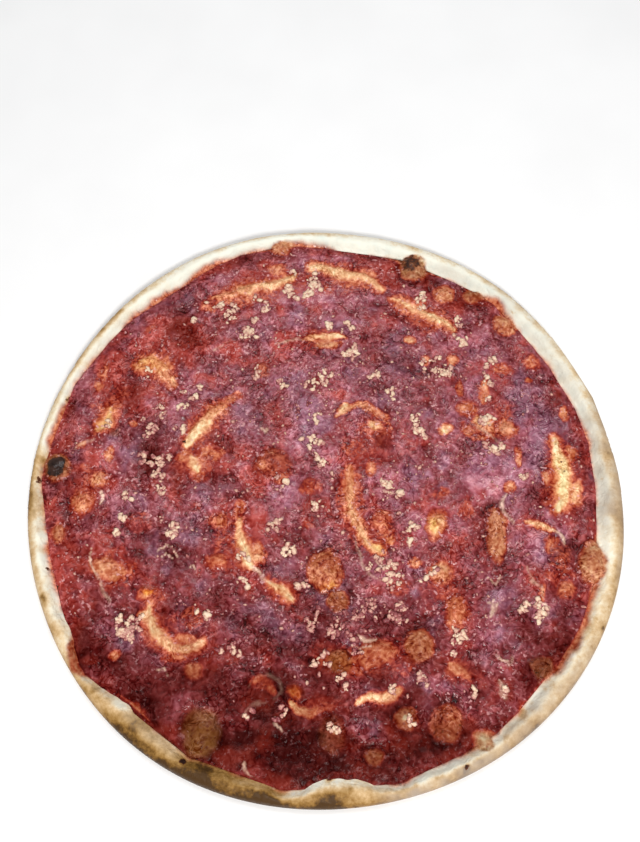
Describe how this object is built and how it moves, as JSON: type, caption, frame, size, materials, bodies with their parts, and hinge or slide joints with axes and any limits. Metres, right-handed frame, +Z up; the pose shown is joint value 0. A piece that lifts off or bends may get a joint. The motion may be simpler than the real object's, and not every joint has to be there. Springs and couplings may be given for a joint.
{
  "type": "marinara pizza",
  "caption": "Whole round thin-crust pizza with a low browned rim, tomato sauce, dough blisters and folds, and garlic crumbs; rests flat on its underside.",
  "frame": {"origin": "middle of the flat underside, at the bottom centre of the bounding box", "axes": "+Z up out of the sauce, +X to the right and +Y away from the viewer in the picture"},
  "size_m": [0.3164, 0.3166, 0.0107],
  "materials": {
    "crust": "baked dough, floury pale rim browned at its outer edge",
    "sauce": "oily dark red tomato sauce"
  },
  "bodies": {
    "root": {"crust": "crust", "sauce": "sauce"}
  },
  "joints": []
}
